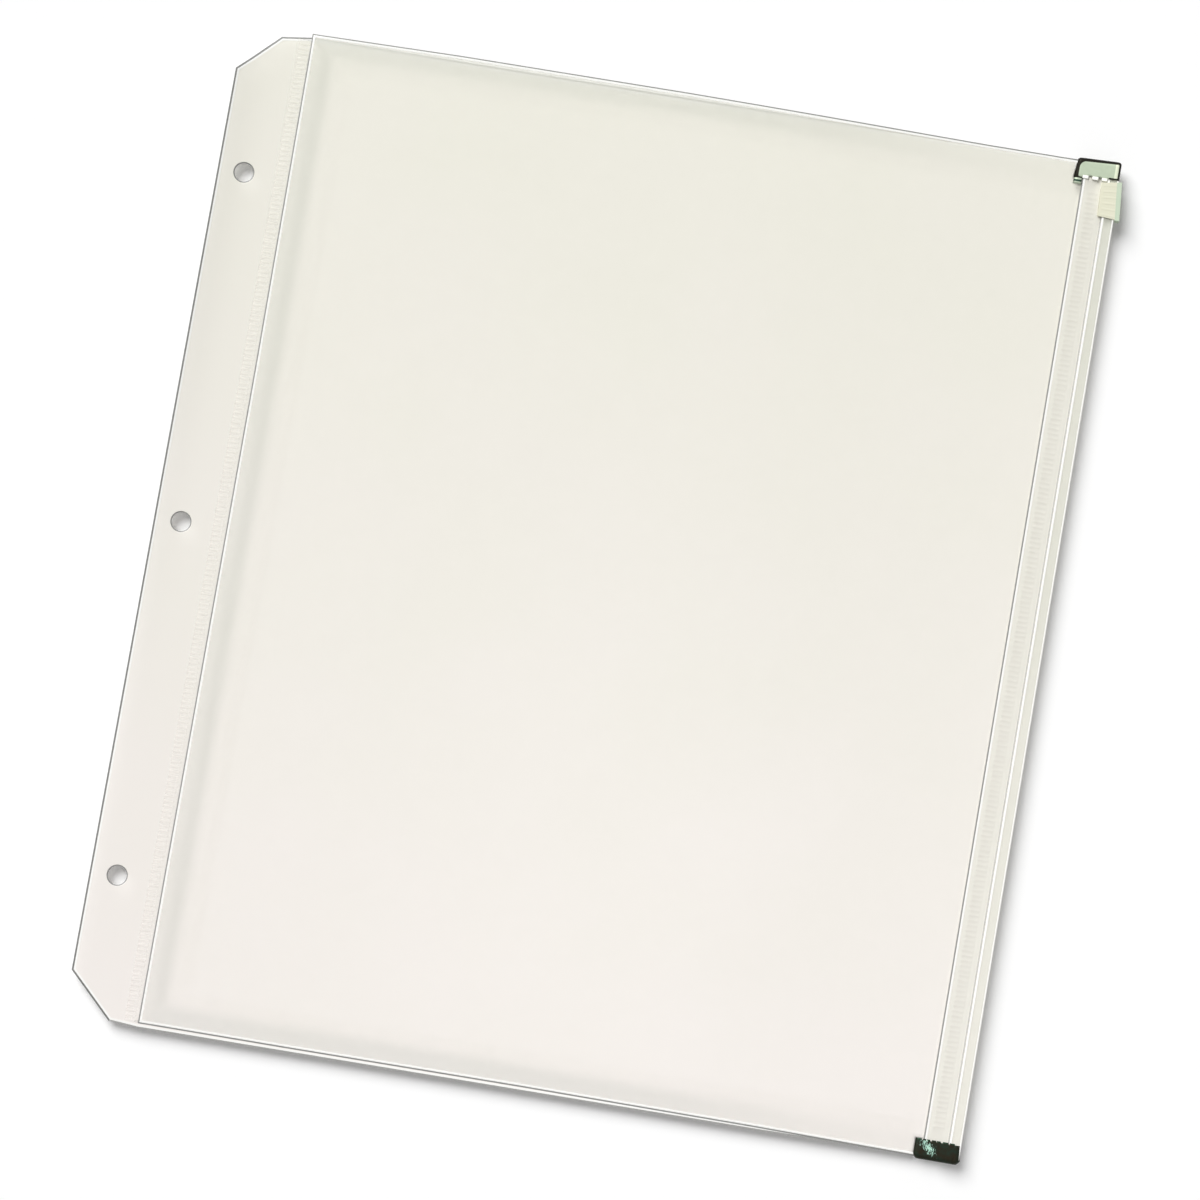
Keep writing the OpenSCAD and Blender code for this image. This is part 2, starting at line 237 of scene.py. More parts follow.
def film_slab(outline, edge_rim, holes, spots, top_of, thick, bare_x):
    """A film as a closed slab with a rolled rim: points, faces and a material slot for each face.
    Right of bare_x the edge lies under the zipper, and its rim gets no painted highlight or shade."""
    points, rises, rims, edges = [], [], [], []
    rings = [(stepped(inset(outline, away), FILM_CELL), rise, ("edge", step, slot))
             for step, (away, rise, slot) in enumerate(edge_rim)]
    for centre, radius in holes:
        rings += [(circle(centre, radius + away), rise, (tuple(centre), step, slot))
                  for step, (away, rise, slot) in enumerate(HOLE_RIM)]
    for ring, rise, rim in rings:
        first, count = len(points), len(ring)
        edges += [(first + i, first + (i + 1) % count) for i in range(count)]
        points += ring
        rises += [rise] * count
        rims += [rim] * count
    clear_of_rim = 2.0 * edge_rim[-1][0]
    core = inset(outline, clear_of_rim)
    for spot in spots:
        clear = all((spot - centre).length > radius + HOLE_CLEAR for centre, radius in holes)
        if clear and inside(spot, core):
            points.append(spot)
            rises.append(0.0)
            rims.append(None)
    flat, _, triangles, sources, _, _ = delaunay_2d_cdt(points, edges, [], 0, SAME_POINT)
    rise_of = [rises[s[0]] if s else 0.0 for s in sources]
    rim_of = [rims[s[0]] if s else None for s in sources]
    count = len(flat)
    solid = [(p.x, p.y, top_of(p.x, p.y) + rise) for p, rise in zip(flat, rise_of)]
    solid += [(p.x, p.y, top_of(p.x, p.y) - thick) for p in flat]
    faces, slots, directed = [], [], set()
    for a, b, c in triangles:
        middle = (flat[a] + flat[b] + flat[c]) / 3.0
        punched = any((middle - centre).length < radius + HOLE_RIM[0][0] for centre, radius in holes)
        if punched or not inside(middle, outline):
            continue
        corner_rims = [rim_of[v] for v in (a, b, c)]
        slot = FILM
        if None not in corner_rims and middle.x < bare_x:
            steps = [step for _, step, _ in corner_rims]
            same_edge = len({edge for edge, _, _ in corner_rims}) == 1
            if same_edge and max(steps) > min(steps):
                slot = max(corner_rims, key=lambda rim: rim[1])[2]
        faces += [(a, b, c), (c + count, b + count, a + count)]
        slots += [slot, UNDERSIDE]
        directed |= {(a, b), (b, c), (c, a)}
    for a, b in sorted(directed):
        if (b, a) not in directed:
            faces.append((b, a, a + count, b + count))
            slots.append(CUT)
    return solid, faces, slots


def make_piece(name, points, faces, materials, slots=None):
    """A mesh object from points in millimetres, shaded smooth up to its creases. Without slots all its
    faces have the first material."""
    mesh = bpy.data.meshes.new(name)
    mesh.from_pydata([[c * MM for c in p] for p in points], [], faces)
    for material in materials:
        mesh.materials.append(material)
    if slots:
        mesh.polygons.foreach_set("material_index", slots)
    work = bmesh.new()
    work.from_mesh(mesh)
    bmesh.ops.delete(work, geom=[v for v in work.verts if not v.link_faces], context="VERTS")
    bmesh.ops.recalc_face_normals(work, faces=work.faces)
    work.to_mesh(mesh)
    work.free()
    mesh.shade_smooth()
    mesh.set_sharp_from_angle(angle=CREASE_ANGLE)
    piece = bpy.data.objects.new(name, mesh)
    bpy.context.scene.collection.objects.link(piece)
    return piece


margin_low, margin_high = node_box("binding_margin")
back_low, back_high = node_box("back_sheet")
clip_low = node_box("top_end_clip")[0]
foot_clip_low, foot_clip_high = node_box("bottom_end_clip")
film_thick = back_high.z - back_low.z
back_skew = back_high.y - margin_high.y
notch_x = clip_low.x - CLIP_GAP
notch_y0, notch_y1 = foot_clip_high.y + CLIP_GAP, clip_low.y - CLIP_GAP
back_outline = [Vector((margin_low.x + x, margin_low.y + y)) for x, y in MARGIN_FOOT]
foot_end = Vector((notch_x, margin_low.y + back_skew - FOOT_SAG))
back_outline.append(back_outline[-1].lerp(foot_end, FOOT_TURN))
back_outline += [Vector(p) for p in (
    (notch_x, foot_end.y + FOOT_TUCK), (notch_x, notch_y0), (back_high.x, notch_y0),
    (back_high.x, notch_y1), (notch_x, notch_y1), (notch_x, back_high.y))]
back_outline += [Vector((margin_low.x + x, margin_high.y + y)) for x, y in MARGIN_HEAD]
ring_holes = [(Vector(mount["pos_m"][:2]) / MM, mount["dims"]["r_mm"])
              for mount in frame["record"]["mounts"] if mount["kind"] == "bore"]
flex_x = (margin_high.x + back_low.x) / 2.0


def back_top(x, y):
    """Upper face of the back film; the margin curls up a little towards its free edge."""
    curl = between(MARGIN_CURL, smooth((y - margin_low.y / 2.0) / margin_high.y))
    along_margin = max(0.0, (flex_x - FLEX_REACH - x) / (flex_x - margin_low.x))
    return back_high.z + curl * along_margin ** CURL_POWER


margin_columns = int((flex_x - FLEX_REACH - margin_low.x) / MARGIN_CELL)
pocket_columns = int((back_high.x - flex_x) / FILM_CELL)
flex_steps = int(FLEX_REACH / FLEX_STEP)
back_spots = grid([margin_low.x + MARGIN_CELL * i for i in range(margin_columns)],
                  margin_low.y, margin_high.y, MARGIN_CELL)
back_spots += grid([flex_x + FLEX_STEP * i for i in range(-flex_steps, flex_steps + 1)]
                   + [flex_x + FILM_CELL * i for i in range(1, pocket_columns + 1)],
                   margin_low.y, back_high.y, FILM_CELL)
clear_vinyl = vinyl("clear_vinyl_back", "#F0EEE2", "#F8F2ED", alpha=0.92)
clear_underside = vinyl("clear_vinyl_underside", "#F0EEE2", "#F8F2ED", alpha=0.08)
# The bead of the rolled rim is painted white as a highlight, and the cut edge outside it grey as shade
bead_highlight_vinyl = vinyl("clear_film_bead_painted_highlight", "#FEFEFA", "#FFFEFB", alpha=0.97, roughness=0.2)
cut_edge_shade_vinyl = vinyl("clear_film_cut_edge_painted_shade", "#6D6E6B", "#6D6D6B", alpha=0.95, roughness=0.4)
# Edges rounded by heat or by the punch are painted a paler grey line of shade, and the lower one is half
# clear, so it lets the shadow below it through
rounded_edge_shade_vinyl = vinyl("clear_film_rounded_rim_painted_shade", "#747572", "#848482", alpha=0.95, roughness=0.4)
lower_rim_shade_vinyl = vinyl("clear_film_lower_rim_painted_shade", "#A6A7A4", "#A6A7A4", alpha=0.45, roughness=0.4)
film_finishes = [clear_vinyl, bead_highlight_vinyl, cut_edge_shade_vinyl, clear_underside, rounded_edge_shade_vinyl, lower_rim_shade_vinyl]
points, faces, slots = film_slab(back_outline, BACK_RIM, ring_holes, back_spots, back_top, film_thick,
                                 notch_x - BACK_RIM[-1][0])
# Along the lower edge the cut edge takes the paler, half clear line of painted shade
lower_y = margin_low.y + back_skew + BACK_RIM[-1][0]
slots = [LOWER_EDGE if slot == CUT and all(points[v][1] < lower_y for v in face) else slot
         for face, slot in zip(faces, slots)]
back_film = make_piece("back_film", points, faces, film_finishes, slots)
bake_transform(back_film)
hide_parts("binding_margin", "back_sheet")

# Pleated gussets
# Three strips of thinner vinyl, each folded inwards along its middle like a bellows. They join the
# back film to the front film, are mitred into each other at the corners, and are fixed by ribbed welds.
LEAF_THICK = 0.2
LEAF_STEPS = 14
# Slope of a leaf at its fold, as a share of its steepest, and how far along its depth it is steepest
SIDE_LEAF, END_LEAF = (0.6, 0.5), (0.9, 0.38)
PLEAT_DEPTH = 10.4
PLEAT_STATIONS = 40
LAND_WIDTH = 3.4
WELD_WIDTH = 3.0
WELD_INSET = 0.2
RIB_LENGTH = 0.8
RIB_RISE = 0.02
RIB_SLOPE = 0.2
MARGIN_RIB_PITCH = 1.505
LAND_RIB_PITCH = 1.605
FILM_CLEAR = 0.03
CLIP_PRESS_Z = 2.85
CLIP_PINCH_X = 24.0
CLIP_PINCH_Y = 12.0
# Two waves cross on the front film: their height, the run of a radian of each in X and in Y, where the
# second one starts, and the strip along the edges in which they fade
WAVE_HEIGHT = 0.1
WAVE_RUNS = ((31.0, 57.0), (90.0, 43.0))
WAVE_START = 0.6
WAVE_FADE = 40.0
ZIP_DIP = 2.0
ZIP_DIP_REACH = 100.0
# How far the edges of the front film drift from straight, as place along the edge and distance
TOP_DRIFT = ((0.0, -0.35), (45.0, 0.45), (115.0, 0.75), (205.0, 0.4), (236.0, 0.6))
FOOT_DRIFT = ((0.0, -1.25), (45.0, -1.0), (115.0, -0.4), (185.0, -0.3), (236.0, -0.6))
SIDE_DRIFT = ((0.0, 0.0), (90.0, 0.0), (200.0, -0.15), (301.7, -0.8))

front_low, front_high = node_box("front_sheet")


def clip_pinch(x, y):
    """How far an end clip presses the films together, from 0 in the open pocket to 1 in the clip."""
    away_x = max(0.0, clip_low.x - x) / CLIP_PINCH_X
    above = max(0.0, clip_low.y - y) / CLIP_PINCH_Y
    below = max(0.0, y - foot_clip_high.y) / CLIP_PINCH_Y
    return 1.0 - smooth(min(math.hypot(away_x, above), math.hypot(away_x, below)))


def front_top(x, y):
    """Upper face of the front film: nearly flat, with long shallow waves, pressed down at the clips."""
    (first_x, first_y), (second_x, second_y) = WAVE_RUNS
    wave = math.sin(x / first_x + y / first_y) * math.sin(y / second_y - x / second_x + WAVE_START)
    edge = min(x - front_low.x, y - front_low.y, front_high.y - y, back_high.x - x)
    dip = ZIP_DIP * smooth(1.0 - (front_high.x - x) / ZIP_DIP_REACH)
    open_z = front_high.z - dip + WAVE_HEIGHT * wave * smooth(edge / WAVE_FADE)
    return between((open_z, CLIP_PRESS_Z), clip_pinch(x, y))


def drift(table, place):
    """Distance of an edge from straight, at a place along it."""
    for (start, low), (end, high) in zip(table, table[1:]):
        if place <= end:
            return between((low, high), max(0.0, (place - start) / (end - start)))
    return table[-1][1]


def front_edge(x, side):
    """Where the upper (side 1) or lower (side -1) edge of the front film runs."""
    if side > 0:
        return front_high.y + drift(TOP_DRIFT, x - front_low.x)
    return front_low.y + drift(FOOT_DRIFT, x - front_low.x)


def front_side(y):
    """Where the left edge of the front film runs."""
    return front_low.x + drift(SIDE_DRIFT, y - front_low.y)


def thicken(line, thick):
    """A line in a section, as the closed outline of a strip of that thickness."""
    sides = []
    for i, (d, z) in enumerate(line):
        ahead = line[min(i + 1, len(line) - 1)]
        behind = line[max(i - 1, 0)]
        run = Vector((ahead[0] - behind[0], ahead[1] - behind[1])).normalized()
        sides.append((d, z, -run.y * thick / 2.0, run.x * thick / 2.0))
    return ([(d + a, z + b) for d, z, a, b in sides]
            + [(d - a, z - b) for d, z, a, b in reversed(sides)])


def loft(rows):
    """A closed skin over rows of points that each go round once, capped at both ends."""
    count = len(rows[0])
    points = [p for row in rows for p in row]
    faces = [(r * count + i, r * count + (i + 1) % count,
              (r + 1) * count + (i + 1) % count, (r + 1) * count + i)
             for r in range(len(rows) - 1) for i in range(count)]
    faces.append(tuple(range(count)))
    faces.append(tuple(reversed(range(len(points) - count, len(points)))))
    return points, faces


def weld_ribs(x0, x1, y0, y1, z, pitch):
    """A row of low bars across a seam, left by the ribbed welding bar."""
    points, faces = [], []
    box_faces = [(0, 1, 2, 3), (4, 7, 6, 5), (0, 4, 5, 1), (1, 5, 6, 2), (2, 6, 7, 3), (3, 7, 4, 0)]
    count = int((y1 - y0 - RIB_LENGTH) / pitch) + 1
    first_y = (y0 + y1 - (count - 1) * pitch) / 2.0
    for i in range(count):
        low_y = first_y + i * pitch - RIB_LENGTH / 2.0
        first = len(points)
        for grow, height in ((0.0, z - RIB_RISE / 2.0), (RIB_SLOPE, z + RIB_RISE)):
            points += [(x0 + grow, low_y + grow, height), (x1 - grow, low_y + grow, height),
                       (x1 - grow, low_y + RIB_LENGTH - grow, height),
                       (x0 + grow, low_y + RIB_LENGTH - grow, height)]
        faces += [tuple(first + v for v in face) for face in box_faces]
    return points, faces


def joined(*meshes):
    """Several lists of points and faces as one, with each mesh's number as the slot of its faces."""
    points, faces, slots = [], [], []
    for slot, (more_points, more_faces) in enumerate(meshes):
        first = len(points)
        points += more_points
        faces += [tuple(first + v for v in face) for face in more_faces]
        slots += [slot] * len(more_faces)
    return points, faces, slots


def leaf_line(fold_z, apex_z, shape):
    """One leaf of a pleat in section, from its fold at the film to the apex inside the pocket. It grows
    steeper from the fold on and flattens towards the apex."""
    first_slope, steepest = shape
    slopes = []
    for i in range(LEAF_STEPS):
        along = (i + 0.5) / LEAF_STEPS
        steepening = first_slope + (1.0 - first_slope) * smooth(along / steepest)
        slopes.append(steepening * (1.0 - smooth((along - steepest) / (1.0 - steepest))))
    fallen = [sum(slopes[:i]) / sum(slopes) for i in range(LEAF_STEPS + 1)]
    return [(PLEAT_DEPTH * i / LEAF_STEPS, between((fold_z, apex_z), share))
            for i, share in enumerate(fallen)]


def pleat_heights(x, y):
    """Heights of a pleat's upper fold, its apex and its lower fold at a place on the film's edge."""
    upper = front_top(x, y) - film_thick - LEAF_THICK / 2.0 - FILM_CLEAR
    lower = back_high.z + LEAF_THICK / 2.0 + FILM_CLEAR
    return upper, (upper + lower) / 2.0, lower


def let_light_pass(piece):
    """Clear film lets nearly all light through, so this layer neither shades nor lights the one below."""
    piece.visible_shadow = False
    piece.visible_diffuse = False


# The leaves of the pleats are painted darker where they slope, as painted shade; the two slope shade
# colours are for the top and the bottom of the pocket
side_vinyl = vinyl("pleat_vinyl_left", "#E5E3D8", "#EDE7E1", alpha=0.19, slope_shade_hexes=("#9CA496", "#AAAEA4"))
pleat_vinyl = vinyl("pleat_vinyl", "#E5E3D8", "#EDE7E1", alpha=0.19, slope_shade_hexes=("#AAB1A4", "#8F968E"))
# A ribbed welding bar leaves faint stripes, a little duller than the film
weld_vinyl = vinyl("welded_vinyl", "#E9E7DB", "#F1EBE6", alpha=0.95, roughness=0.35)
land_vinyl = vinyl("welded_vinyl_inner", "#E4E0D6", "#EAE4DE", alpha=0.28, roughness=0.35)

fold_x = front_low.x
flange_x = node_box("left_gusset")[0].x
upper, apex, lower = pleat_heights(fold_x, 0.0)
land_d = PLEAT_DEPTH + LAND_WIDTH
upper_line = leaf_line(upper, apex + LEAF_THICK / 2.0, SIDE_LEAF)
lower_line = leaf_line(lower, apex - LEAF_THICK / 2.0, SIDE_LEAF)
left_line = (upper_line + [(land_d, apex + LEAF_THICK / 2.0), (land_d, apex - LEAF_THICK / 2.0)]
             + lower_line[::-1] + [(flange_x - fold_x, lower)])
left_rows = []
for station in range(PLEAT_STATIONS + 1):
    along = station / PLEAT_STATIONS
    row = []
    for d, z in thicken(left_line, LEAF_THICK):
        y0 = front_edge(fold_x + d, -1.0) + max(d, 0.0)
        y1 = front_edge(fold_x + d, 1.0) - max(d, 0.0)
        if z < apex:
            y0, y1 = max(y0, margin_low.y + WELD_INSET), min(y1, margin_high.y - WELD_INSET)
        y = between((y0, y1), along)
        row.append((front_side(y) + d, y, z))
    left_rows.append(row)
land_x = fold_x + PLEAT_DEPTH + WELD_INSET
land_end = land_d + LEAF_THICK
land_ribs = weld_ribs(land_x, land_x + LAND_WIDTH - 2.0 * WELD_INSET, front_low.y + land_end,
                      front_high.y - land_end, apex + LEAF_THICK, LAND_RIB_PITCH)
margin_ribs = weld_ribs(flange_x, flange_x + WELD_WIDTH, margin_low.y + RIB_LENGTH,
                        margin_high.y - RIB_LENGTH, lower + LEAF_THICK / 2.0, MARGIN_RIB_PITCH)
points, faces, slots = joined(loft(left_rows), land_ribs, margin_ribs)
left_pleat = make_piece("left_pleat", points, faces, [side_vinyl, land_vinyl, weld_vinyl], slots)
let_light_pass(left_pleat)
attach(left_pleat, "pocket")
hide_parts("left_gusset")

for node, side in (("top_gusset", 1.0), ("bottom_gusset", -1.0)):
    rows = []
    for station in range(PLEAT_STATIONS + 1):
        along = station / PLEAT_STATIONS
        station_x = between((fold_x, notch_x), along)
        upper, apex, lower = pleat_heights(station_x, front_edge(station_x, side))
        line = leaf_line(upper, apex, END_LEAF) + leaf_line(lower, apex, END_LEAF)[-2::-1]
        row = []
        for d, z in thicken(line, LEAF_THICK):
            x0 = front_side(front_edge(fold_x, side)) + max(d, 0.0)
            x = between((x0, notch_x), along)
            row.append((x, front_edge(x, side) - side * d, z))
        rows.append(row)
    points, faces = loft(rows)
    pleat = make_piece(node.replace("gusset", "pleat"), points, faces, [pleat_vinyl])
    let_light_pass(pleat)
    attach(pleat, "pocket")
    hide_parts(node)

# Back half of the zipper
# One extrusion of stiffer translucent vinyl: a flange welded on to the back film, a raised web and a
# track with a groove, into which the rib of the front half is pressed.
TRACK_WIDTH = 4.3
WEB_FLAT = 1.5
WEB_THICK = 0.4
FLANGE_THICK = 0.3
FLANGE_LAP = 4.4
GROOVE_HALF = 0.75
GROOVE_DEPTH = 0.75
TRACK_GAP = 0.05
WEB_DROP = 0.2
TRACK_HEIGHT = 1.1
EDGE_EASE = 0.12
CLIP_SQUEEZE = 0.7
CLIP_LAP = 0.7
# Out of sight inside the lower clip the flange is drawn wider than elsewhere, to close the clip's shadow
CLIP_SPREAD = 2.1

tape_low, tape_high = node_box("back_zip_tape")
outer_x = tape_high.x
track_x = outer_x - TRACK_WIDTH
bend_x = track_x - WEB_FLAT
key_x = track_x + TRACK_WIDTH / 2.0
parting_z = tape_high.z + TRACK_GAP
track_low_z = parting_z - TRACK_HEIGHT
groove_z = parting_z - GROOVE_DEPTH
back_web_z = parting_z - WEB_DROP - WEB_THICK
lap_x = tape_low.x + FLANGE_LAP


def squeezed_x(y):
    """Outer side of the track, which the upper clip squeezes in."""
    return outer_x - CLIP_SQUEEZE * (y > clip_low.y)


def back_section(y):
    """The back half in section."""
    side_x = squeezed_x(y)
    start_x = tape_low.x - CLIP_SPREAD * (y < foot_clip_high.y)
    return [
        (start_x, tape_low.z + FILM_CLEAR), (lap_x, tape_low.z + FILM_CLEAR), (bend_x, back_web_z),
        (track_x, back_web_z), (track_x, track_low_z + EDGE_EASE), (track_x + EDGE_EASE, track_low_z),
        (side_x - EDGE_EASE, track_low_z), (side_x, track_low_z + EDGE_EASE),
        (side_x, tape_high.z - EDGE_EASE), (side_x - EDGE_EASE, tape_high.z),
        (key_x + GROOVE_HALF, tape_high.z), (key_x + GROOVE_HALF, groove_z),
        (key_x - GROOVE_HALF, groove_z), (key_x - GROOVE_HALF, tape_high.z),
        (track_x, tape_high.z), (track_x, back_web_z + WEB_THICK),
        (bend_x, back_web_z + WEB_THICK), (lap_x, tape_low.z + FLANGE_THICK),
        (start_x, tape_low.z + FLANGE_THICK)]


# The lower end reaches right into the fold of its clip
back_stations = (foot_clip_low.y + CLIP_LAP, foot_clip_high.y - CLIP_LAP, foot_clip_high.y,
                 clip_low.y, clip_low.y + CLIP_LAP, tape_high.y)
tape_vinyl = vinyl("extruded_vinyl", "#EFEDE2", "#F5F2E9", alpha=0.6, roughness=0.23)
points, faces = loft([[(x, y, z) for x, z in back_section(y)] for y in back_stations])
back_tape = make_piece("back_zip_tape_visual", points, faces, [tape_vinyl])
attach(back_tape, "pocket")
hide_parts("back_zip_tape")

# Front film
# The clear face of the pocket, of the same calendered vinyl as the back. It is folded at the left,
# welded to the pleats along three sides and pinched into the end clips at its right corners.
FILM_TUCK = 1.0
RIM = [(0.0, -0.1, CUT), (0.42, 0.0, CUT), (0.7, 0.08, BEAD), (1.0, 0.0, BEAD), (1.3, 0.0, FILM)]

front_right = front_high.x + FILM_TUCK
front_outline = [Vector((fold_x + d, front_edge(fold_x + d, -1.0))) for d, _ in FOOT_DRIFT[:-1]]
front_outline += [Vector((front_right, front_edge(front_right, side))) for side in (-1.0, 1.0)]
front_outline += [Vector((fold_x + d, front_edge(fold_x + d, 1.0))) for d, _ in TOP_DRIFT[-2:0:-1]]
front_outline += [Vector((front_side(y), y)) for y in (
    front_edge(fold_x, 1.0), *(front_low.y + d for d, _ in SIDE_DRIFT[-2:0:-1]))]
front_columns = [fold_x + FILM_CELL * i for i in range(int((front_right - fold_x) / FILM_CELL) + 1)]
front_spots = grid(front_columns, front_low.y, front_high.y, FILM_CELL)
front_vinyl = vinyl("clear_vinyl_front", "#F2F0E4", "#F7F2ED", alpha=0.35, roughness=0.22)
points, faces, slots = film_slab(front_outline, RIM, [], front_spots, front_top, film_thick,
                                 front_high.x - RIM[-1][0])
front_finishes = [front_vinyl, bead_highlight_vinyl, rounded_edge_shade_vinyl, clear_underside]
front_film = make_piece("front_film", points, faces, front_finishes, slots)
let_light_pass(front_film)
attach(front_film, "pocket")
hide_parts("front_sheet")

# Front half of the zipper
# The mating extrusion: a flange with a ribbed weld lies on the front film and runs down to the track,
# whose closing rib sits in the groove below. Its middle stretch is the lip that opens.
# Finishes that the tape has beyond those of a film's rim: a pressed rib, the track and its shoulder, which
# is a grey line of painted shade
PRESSED_RIB, TRACK, SHOULDER = range(3, 6)
ZIP_RIB_PITCH = 1.509
ZIP_WELD = (2.2, 5.4)
ZIP_WELD_END = 9.0
FLANGE_STEPS = (1.6, 2.1, 2.2, 2.8, 3.4, 4.0, 4.6, 5.2, 5.4, 5.5, 6.1, 6.75)
FLANGE_FALL = (1.0, 6.2)
KEY_HALF = 0.5
KEY_DEPTH = 0.45
LEFT_BEAD, RIGHT_BEAD = 0.62, 0.4
TRACK_SHOULDER = 0.53
SHOULDER_RUN = 0.45
ZIP_RIB_RISE = 0.04
TRACK_DIP = 0.07
DIP_RUN = 0.05
END_STEP = 1.5

lip_low, lip_high = node_box("front_zip_tape")
ends_low, ends_high = node_box("front_zip_ends")
track_top = parting_z + TRACK_HEIGHT
track_face = parting_z + TRACK_GAP
web_top = parting_z + WEB_DROP + WEB_THICK
tape_x = lip_low.x


def flange_top(reach, y):
    """Upper face of the flange at a distance from its free edge: it runs down off the film to the web."""
    high = front_top(tape_x, y) + FILM_CLEAR + FLANGE_THICK
    start, end = FLANGE_FALL
    return between((high, web_top), smooth((reach - start) / (end - start)))


def tape_section(y, rib):
    """The front half in section, with the slot of the face that starts at each point."""
    upper = [(reach, rise, slot) for (reach, rise, _), (_, _, slot) in zip(RIM, RIM[1:])]
    upper.append((RIM[-1][0], 0.0, FILM))
    for reach in FLANGE_STEPS:
        in_weld = ZIP_WELD[0] <= reach <= ZIP_WELD[1]
        upper.append((reach, rib * ZIP_RIB_RISE * in_weld, PRESSED_RIB if in_weld and rib else FILM))
    skin = [(tape_x + reach, flange_top(reach, y) + rise, slot) for reach, rise, slot in upper]
    side_x = squeezed_x(y)
    left, right = track_x + TRACK_SHOULDER + EDGE_EASE, side_x - EDGE_EASE
    skin += [(track_x, web_top, FILM), (left - SHOULDER_RUN, track_top - 2.0 * EDGE_EASE, SHOULDER),
             (left, track_top, BEAD), (left + LEFT_BEAD, track_top, TRACK),
             (left + LEFT_BEAD + DIP_RUN, track_top - TRACK_DIP, TRACK),
             (right - RIGHT_BEAD - DIP_RUN, track_top - TRACK_DIP, TRACK),
             (right - RIGHT_BEAD, track_top, BEAD), (right, track_top, BEAD)]
    under = [(side_x, track_top - EDGE_EASE), (side_x, track_face + EDGE_EASE), (right, track_face),
             (key_x + KEY_HALF, track_face), (key_x + KEY_HALF, parting_z - KEY_DEPTH),
             (key_x - KEY_HALF, parting_z - KEY_DEPTH), (key_x - KEY_HALF, track_face),
             (track_x, track_face)]
    under += [(tape_x + reach, flange_top(reach, y) - FLANGE_THICK) for reach, _, _ in reversed(upper)]
    return skin + [(x, z, FILM) for x, z in under]


zip_stations = []
rib_count = int((lip_high.y - lip_low.y + 2.0 * ZIP_WELD_END) / ZIP_RIB_PITCH)
first_rib = (lip_low.y + lip_high.y - (rib_count - 1) * ZIP_RIB_PITCH) / 2.0
half_rib = RIB_LENGTH / 2.0
for i in range(rib_count):
    middle = first_rib + i * ZIP_RIB_PITCH
    zip_stations += [(middle - half_rib, 0.0), (middle - half_rib + RIB_SLOPE, 1.0),
                     (middle + half_rib - RIB_SLOPE, 1.0), (middle + half_rib, 0.0)]
low_end, high_end = zip_stations[0][0], zip_stations[-1][0]
low_steps = int((low_end - ends_low.y) / END_STEP)
high_steps = int((ends_high.y - high_end) / END_STEP)
zip_stations = ([(ends_low.y + (low_end - ends_low.y) * i / low_steps, 0.0) for i in range(low_steps)]
                + zip_stations
                + [(ends_high.y - (ends_high.y - high_end) * i / high_steps, 0.0)
                   for i in reversed(range(high_steps))])
zip_rows = [[(x, y, z) for x, z, _ in tape_section(y, rib)] for y, rib in zip_stations]
points, faces = loft(zip_rows)
slots = []
for (_, rib), (_, next_rib) in zip(zip_stations, zip_stations[1:]):
    slots += [slot for _, _, slot in tape_section(0.0, rib * next_rib)]
slots += [FILM, FILM]
# The ribs are a little duller than the flange, and the track is drawn darker and greener than it. The white
# beads along the track are painted highlights, and its shoulder is a grey line of painted shade.
rib_vinyl = vinyl("extruded_vinyl_rib", "#E8E6DA", "#EFEBE3", alpha=0.6)
track_vinyl = vinyl("extruded_vinyl_track", "#D4D6C8", "#ECE9DF", alpha=0.6, roughness=0.23)
zip_finishes = [tape_vinyl, bead_highlight_vinyl, rounded_edge_shade_vinyl, rib_vinyl, track_vinyl, lower_rim_shade_vinyl]
front_tape = make_piece("front_zip", points, faces, zip_finishes, slots)
let_light_pass(front_tape)
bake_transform(front_tape)
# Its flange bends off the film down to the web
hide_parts("front_zip_tape", "front_zip_ends")

# Slider
# A small moulding in pale, waxy plastic: two jaws joined by a side wall, which is longer than the jaws
# at its lower end. Hooks on the jaws run behind the shoulders of the track, and it sits a little askew.
JAW_THICK = 0.75
HOOK_WIDTH = 0.75
HOOK_RUN = 0.15
SLIDER_WALL = 1.7
SLIDER_EASE = 0.22
EASE_STEPS = 3
# How far the moulding's left and right corners stand off its box, in X at both ends and in Y
LEAN_LOW, LEAN_HIGH = (0.46, -0.12), (-0.42, -1.15)
TOP_END, JAW_END, WALL_END = (-0.28, 0.78), (0.88, 0.53), (0.6, 0.29)
JAW_TAPER = 0.55
GRIP_COUNT = 6
GRIP_WIDTH = 0.9
GRIP_RISE = 0.03
GRIP_STEPS = 6

slider_low, slider_high = node_box("slider")
slider_size = slider_high - slider_low
wall_x = slider_high.x - SLIDER_WALL
hook_x = slider_low.x + HOOK_WIDTH
jaw_low, jaw_high = slider_low.z + JAW_THICK, slider_high.z - JAW_THICK
hook_low, hook_high = back_web_z - HOOK_RUN, web_top + HOOK_RUN


def slider_lean(x, y):
    """How far a point on the outside of the slider is shifted, because it sits askew on the track."""
    along = (y - slider_low.y) / slider_size.y
    across = (x - slider_low.x) / slider_size.x
    return between((between(LEAN_LOW, across), between(LEAN_HIGH, across)), along)


def slider_row(end_y, offsets, taper, corners):
    """Points of the slider's section at one of its ends; its inside stays straight along the track."""
    row = []
    for corner in corners:
        x, z = slider_section[corner]
        y = end_y + between(offsets, (x - slider_low.x) / slider_size.x)
        is_outside = corner < outer_corners
        row.append((x + slider_lean(x, y) * is_outside, y, z - taper * (z == slider_high.z)))
    return row


